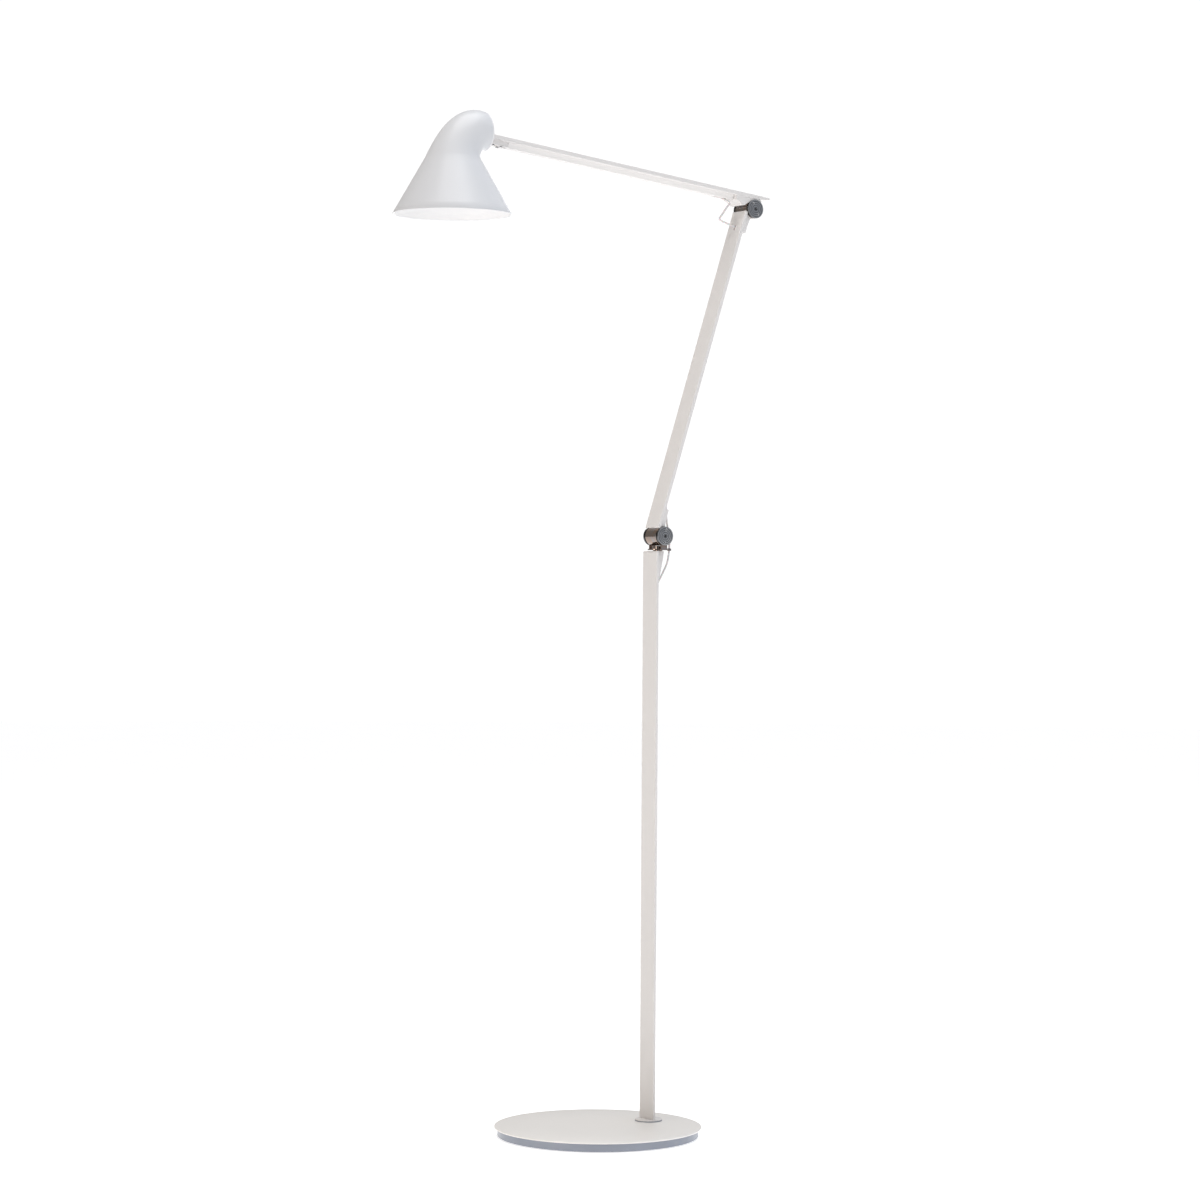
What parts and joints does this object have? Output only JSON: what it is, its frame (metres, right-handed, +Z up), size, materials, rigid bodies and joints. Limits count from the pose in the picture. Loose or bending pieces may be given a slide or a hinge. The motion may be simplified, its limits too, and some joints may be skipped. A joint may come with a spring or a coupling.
{
  "type": "adjustable arm floor lamp",
  "caption": "Slim white floor lamp: round weighted base, flat post, two flat arms on dark friction hinges and a hooded cone shade.",
  "frame": {"origin": "centre of the round base's underside", "axes": "+Z up; the lamp lies in the XZ plane with its head towards -X; +Y is along the hinge axes, towards the far side"},
  "size_m": [0.5448, 0.26, 1.2693],
  "materials": {
    "felt": "dark non-slip felt",
    "base_side": "satin blue-grey lacquer on steel",
    "white_top": "satin white powder coat",
    "white_paint": "satin white powder coat",
    "screw_steel": "plain zinc-plated steel",
    "dark_chrome": "polished black chrome",
    "turned_cap": "fine turned black chrome",
    "washer_plastic": "friction polymer",
    "cable_white": "soft white cable sheath",
    "rubber": "moulded rubber",
    "shade_white": "satin white powder coat",
    "ring_white": "moulded white plastic",
    "cast_aluminium": "bead-blasted die casting",
    "board": "white solder mask",
    "led": "phosphor-coated emitter",
    "diffuser": "opal acrylic, lit",
    "switch_black": "moulded switch housing",
    "button_white": "moulded white plastic"
  },
  "bodies": {
    "base": {"foot_pad": "felt", "base_weight": "base_side", "base_top_plate": "white_top", "post_flange": "white_paint", "post_foot_bolts": "screw_steel", "post_foot_washers": "screw_steel", "cable_gland": "rubber", "post_bar": "white_paint", "post_cable_cover": "white_paint", "post_head_block": "white_paint", "post_head_screws": "screw_steel", "post_cable": "cable_white", "swivel_stop_pin": "screw_steel", "swivel_spacer": "dark_chrome", "shoulder_cable_lower": "cable_white"},
    "swivel": {"swivel_yoke": "dark_chrome", "swivel_bolt": "dark_chrome", "swivel_locknut": "screw_steel", "swivel_disc_springs": "screw_steel", "cable_guide": "dark_chrome", "shoulder_pin": "dark_chrome", "shoulder_cap_left": "turned_cap", "shoulder_cap_right": "turned_cap", "shoulder_friction_washers": "washer_plastic", "shoulder_cable_upper": "cable_white"},
    "lower_arm": {"lower_arm_bar": "white_paint", "lower_arm_cable_cover": "white_paint", "lower_arm_cable": "cable_white", "shoulder_barrel": "dark_chrome", "elbow_barrel": "dark_chrome", "shoulder_saddle": "white_paint", "elbow_saddle": "white_paint", "elbow_cable": "cable_white"},
    "upper_arm": {"elbow_yoke": "white_paint", "elbow_clamp_screw": "screw_steel", "elbow_pin": "dark_chrome", "elbow_cap_left": "turned_cap", "elbow_cap_right": "turned_cap", "elbow_friction_washers": "washer_plastic", "upper_arm_bar": "white_paint", "upper_arm_cable_cover": "white_paint", "upper_arm_tail_cap": "white_paint", "upper_arm_cable": "cable_white", "head_link": "white_paint", "head_link_screws": "screw_steel", "head_cable": "cable_white"},
    "head": {"shade": "shade_white", "shade_rear_ring": "ring_white", "head_bracket": "cast_aluminium", "head_pin": "screw_steel", "head_friction_washers": "washer_plastic", "heat_sink": "cast_aluminium", "heat_sink_screws": "screw_steel", "module_carrier": "cast_aluminium", "led_board": "board", "led_chips": "led", "diffuser": "diffuser", "switch_body": "switch_black", "switch_bracket": "cast_aluminium"},
    "button": {"switch_button": "button_white"}
  },
  "joints": [
    {"name": "swivel_turn", "type": "hinge", "parent": "base", "child": "swivel", "pos_m": [0.0855, 0, 0.7349], "axis": [0, 0, 1], "range_deg": [-90, 90], "deforming": ["shoulder_cable_lower"]},
    {"name": "shoulder_tilt", "type": "hinge", "parent": "swivel", "child": "lower_arm", "pos_m": [0.0855, 0, 0.7525], "axis": [0, 1, 0], "range_deg": [-45, 45], "deforming": ["shoulder_cable_upper"]},
    {"name": "elbow_tilt", "type": "hinge", "parent": "lower_arm", "child": "upper_arm", "pos_m": [0.22239, 0, 1.17382], "axis": [0, 1, 0], "range_deg": [-20, 80], "deforming": ["elbow_cable"]},
    {"name": "head_tilt", "type": "hinge", "parent": "upper_arm", "child": "head", "pos_m": [-0.20009, 0, 1.23683], "axis": [0, 1, 0], "range_deg": [-8, 30], "deforming": ["head_cable"]},
    {"name": "switch_press", "type": "slide", "parent": "head", "child": "button", "axis": [0, -1, 0], "range_m": [0, 0.0012], "stiffness_N_per_m": 400}
  ]
}
